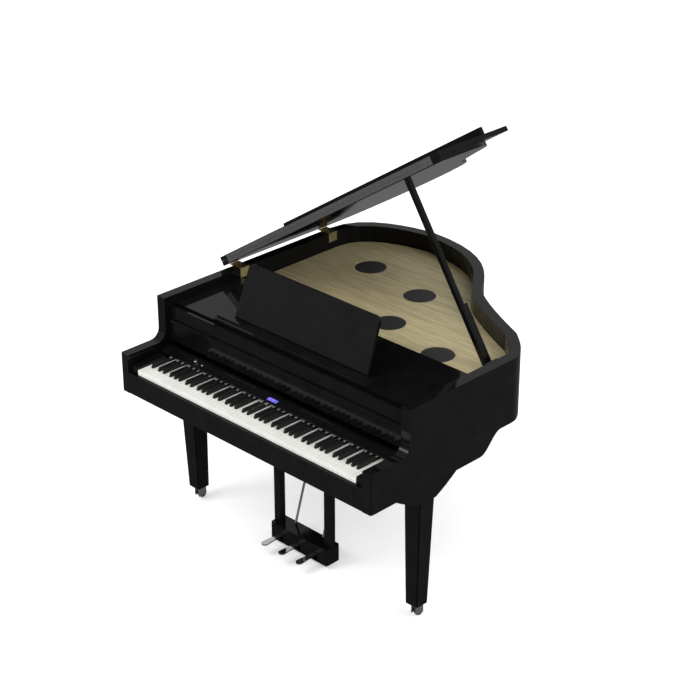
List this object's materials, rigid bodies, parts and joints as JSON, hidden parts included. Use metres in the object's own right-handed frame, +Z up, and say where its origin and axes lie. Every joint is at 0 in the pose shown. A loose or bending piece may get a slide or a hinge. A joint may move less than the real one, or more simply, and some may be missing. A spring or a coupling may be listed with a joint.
{
  "type": "digital grand piano",
  "caption": "Black digital grand piano with curved case, propped folding lid, keyboard, music desk and pedal lyre on tapered caster legs.",
  "frame": {"origin": "middle of the whole piano's footprint on the floor, with the lid up as in the picture", "axes": "+X towards the treble end of the keyboard, +Y from the player towards the tail, +Z up"},
  "size_m": [1.4404, 1.488, 1.795],
  "materials": {
    "black_polish": "high gloss polyester lacquer over board",
    "black_satin": "satin black paint over board",
    "white_key": "off-white, lightly polished",
    "black_key": "satin black",
    "spruce": "pale, open grain, satin",
    "steel": "brushed",
    "brass": "polished, pale",
    "chrome": "polished",
    "grille": "black mesh",
    "cone": "black",
    "display_glass": "dark, lit blue-violet",
    "wheel_rubber": "smooth",
    "circuit": "coated board"
  },
  "bodies": {
    "piano_case": {"black_keys_fixed": "black_key", "bottom_board": "black_satin", "case_hinge_back": "brass", "case_hinge_front": "brass", "control_panel": "black_polish", "display": "display_glass", "driver_1": "cone", "driver_2": "cone", "driver_3": "cone", "driver_4": "cone", "grille_1": "grille", "grille_2": "grille", "grille_3": "grille", "grille_4": "grille", "key_block_left": "black_polish", "key_block_right": "black_polish", "key_frame": "black_satin", "keybed": "black_satin", "keyslip": "black_polish", "leg_back": "black_polish", "leg_left": "black_polish", "leg_right": "black_polish", "lyre": "black_polish", "lyre_brace_left": "chrome", "lyre_brace_right": "chrome", "main_board": "circuit", "power_supply": "steel", "prop_block": "black_satin", "rim_case": "black_polish", "soundboard": "spruce", "top_shelf": "black_polish", "white_keys_fixed": "white_key"},
    "key_white_c": {"key_white_c": "white_key"},
    "key_white_d": {"key_white_d": "white_key"},
    "key_white_e": {"key_white_e": "white_key"},
    "key_black_c_sharp": {"key_black_c_sharp": "black_key"},
    "key_black_d_sharp": {"key_black_d_sharp": "black_key"},
    "volume_knob": {"volume_knob": "chrome"},
    "power_button": {"power_button": "chrome"},
    "button_row_left": {"button_row_left": "black_satin"},
    "button_row_right": {"button_row_right": "black_satin"},
    "fallboard": {"fallboard": "black_polish"},
    "music_desk": {"music_desk": "black_polish"},
    "long_prop": {"long_prop": "black_polish"},
    "short_prop": {"short_prop": "black_polish"},
    "pedal_soft": {"pedal_soft": "chrome"},
    "pedal_sostenuto": {"pedal_sostenuto": "chrome"},
    "pedal_damper": {"pedal_damper": "chrome"},
    "main_lid": {"main_lid": "black_polish", "long_hinge_lid_leaf": "steel", "lid_hinge_front": "brass", "lid_hinge_back": "brass"},
    "lid_flap": {"lid_flap": "black_polish", "long_hinge_flap_leaf": "steel"},
    "caster_left_fork": {"caster_left_fork": "chrome"},
    "caster_left_wheel": {"caster_left_wheel": "wheel_rubber"},
    "caster_right_fork": {"caster_right_fork": "chrome"},
    "caster_right_wheel": {"caster_right_wheel": "wheel_rubber"},
    "caster_back_fork": {"caster_back_fork": "chrome"},
    "caster_back_wheel": {"caster_back_wheel": "wheel_rubber"}
  },
  "joints": [
    {"name": "key_c_press", "type": "hinge", "parent": "piano_case", "child": "key_white_c", "pos_m": [-0.03856, -0.53, 0.714], "axis": [1, 0, 0], "range_deg": [0, 2.8], "stiffness_Nm_per_rad": 1, "springref_deg": -17.19},
    {"name": "key_d_press", "type": "hinge", "parent": "piano_case", "child": "key_white_d", "pos_m": [-0.01506, -0.53, 0.714], "axis": [1, 0, 0], "range_deg": [0, 2.8], "stiffness_Nm_per_rad": 1, "springref_deg": -17.19},
    {"name": "key_e_press", "type": "hinge", "parent": "piano_case", "child": "key_white_e", "pos_m": [0.00844, -0.53, 0.714], "axis": [1, 0, 0], "range_deg": [0, 2.8], "stiffness_Nm_per_rad": 1, "springref_deg": -17.19},
    {"name": "key_c_sharp_press", "type": "hinge", "parent": "piano_case", "child": "key_black_c_sharp", "pos_m": [-0.02961, -0.53, 0.714], "axis": [1, 0, 0], "range_deg": [0, 2.8], "stiffness_Nm_per_rad": 1, "springref_deg": -17.19},
    {"name": "key_d_sharp_press", "type": "hinge", "parent": "piano_case", "child": "key_black_d_sharp", "pos_m": [-0.00051, -0.53, 0.714], "axis": [1, 0, 0], "range_deg": [0, 2.8], "stiffness_Nm_per_rad": 1, "springref_deg": -17.19},
    {"name": "pedal_soft_press", "type": "hinge", "parent": "piano_case", "child": "pedal_soft", "pos_m": [-0.07981, -0.394, 0.055], "axis": [1, 0, 0], "range_deg": [0, 4.5], "stiffness_Nm_per_rad": 10, "springref_deg": -8.59},
    {"name": "pedal_sostenuto_press", "type": "hinge", "parent": "piano_case", "child": "pedal_sostenuto", "pos_m": [0.02019, -0.394, 0.055], "axis": [1, 0, 0], "range_deg": [0, 4.5], "stiffness_Nm_per_rad": 10, "springref_deg": -8.59},
    {"name": "pedal_damper_press", "type": "hinge", "parent": "piano_case", "child": "pedal_damper", "pos_m": [0.12019, -0.394, 0.055], "axis": [1, 0, 0], "range_deg": [0, 4.5], "stiffness_Nm_per_rad": 10, "springref_deg": -8.59},
    {"name": "volume_turn", "type": "hinge", "parent": "piano_case", "child": "volume_knob", "pos_m": [-0.43281, -0.558, 0.76363], "axis": [0, -0.1705, 0.9854], "range_deg": [-140, 140]},
    {"name": "power_press", "type": "slide", "parent": "piano_case", "child": "power_button", "axis": [0, 0.1705, -0.9854], "range_m": [0, 0.0015], "stiffness_N_per_m": 400, "springref_m": -0.002},
    {"name": "buttons_left_press", "type": "slide", "parent": "piano_case", "child": "button_row_left", "axis": [0, 0.1705, -0.9854], "range_m": [0, 0.001], "stiffness_N_per_m": 900, "springref_m": -0.002},
    {"name": "buttons_right_press", "type": "slide", "parent": "piano_case", "child": "button_row_right", "axis": [0, 0.1705, -0.9854], "range_m": [0, 0.001], "stiffness_N_per_m": 900, "springref_m": -0.002},
    {"name": "fallboard_close", "type": "hinge", "parent": "piano_case", "child": "fallboard", "pos_m": [0.02019, -0.516, 0.792], "axis": [1, 0, 0], "range_deg": [0, 95]},
    {"name": "desk_fold", "type": "hinge", "parent": "piano_case", "child": "music_desk", "pos_m": [0.02019, -0.412, 0.952], "axis": [-1, 0, 0], "range_deg": [0, 66]},
    {"name": "lid_open", "type": "hinge", "parent": "piano_case", "child": "main_lid", "pos_m": [-0.69681, 0.16, 0.976], "axis": [0, -1, 0], "range_deg": [0, 12]},
    {"name": "flap_unfold", "type": "hinge", "parent": "main_lid", "child": "lid_flap", "pos_m": [-0.10867, -0.163, 1.38674], "axis": [0.8377, 0, 0.5461], "range_deg": [0, 180]},
    {"name": "long_prop_fold", "type": "hinge", "parent": "piano_case", "child": "long_prop", "pos_m": [0.59619, 0.015, 0.9152], "axis": [0, -1, 0], "range_deg": [0, 50]},
    {"name": "short_prop_fold", "type": "hinge", "parent": "piano_case", "child": "short_prop", "pos_m": [0.59619, 0.0375, 0.9152], "axis": [0, -1, 0], "range_deg": [0, 50]},
    {"name": "caster_left_swivel", "type": "hinge", "parent": "piano_case", "child": "caster_left_fork", "pos_m": [-0.61181, -0.417, 0.062], "axis": [0, 0, 1], "continuous": true},
    {"name": "caster_left_roll", "type": "hinge", "parent": "caster_left_fork", "child": "caster_left_wheel", "pos_m": [-0.61181, -0.403, 0.02], "axis": [1, 0, 0], "continuous": true},
    {"name": "caster_right_swivel", "type": "hinge", "parent": "piano_case", "child": "caster_right_fork", "pos_m": [0.65219, -0.417, 0.062], "axis": [0, 0, 1], "continuous": true},
    {"name": "caster_right_roll", "type": "hinge", "parent": "caster_right_fork", "child": "caster_right_wheel", "pos_m": [0.65219, -0.403, 0.02], "axis": [1, 0, 0], "continuous": true},
    {"name": "caster_back_swivel", "type": "hinge", "parent": "piano_case", "child": "caster_back_fork", "pos_m": [-0.22981, 0.5, 0.062], "axis": [0, 0, 1], "continuous": true},
    {"name": "caster_back_roll", "type": "hinge", "parent": "caster_back_fork", "child": "caster_back_wheel", "pos_m": [-0.22981, 0.514, 0.02], "axis": [1, 0, 0], "continuous": true}
  ]
}
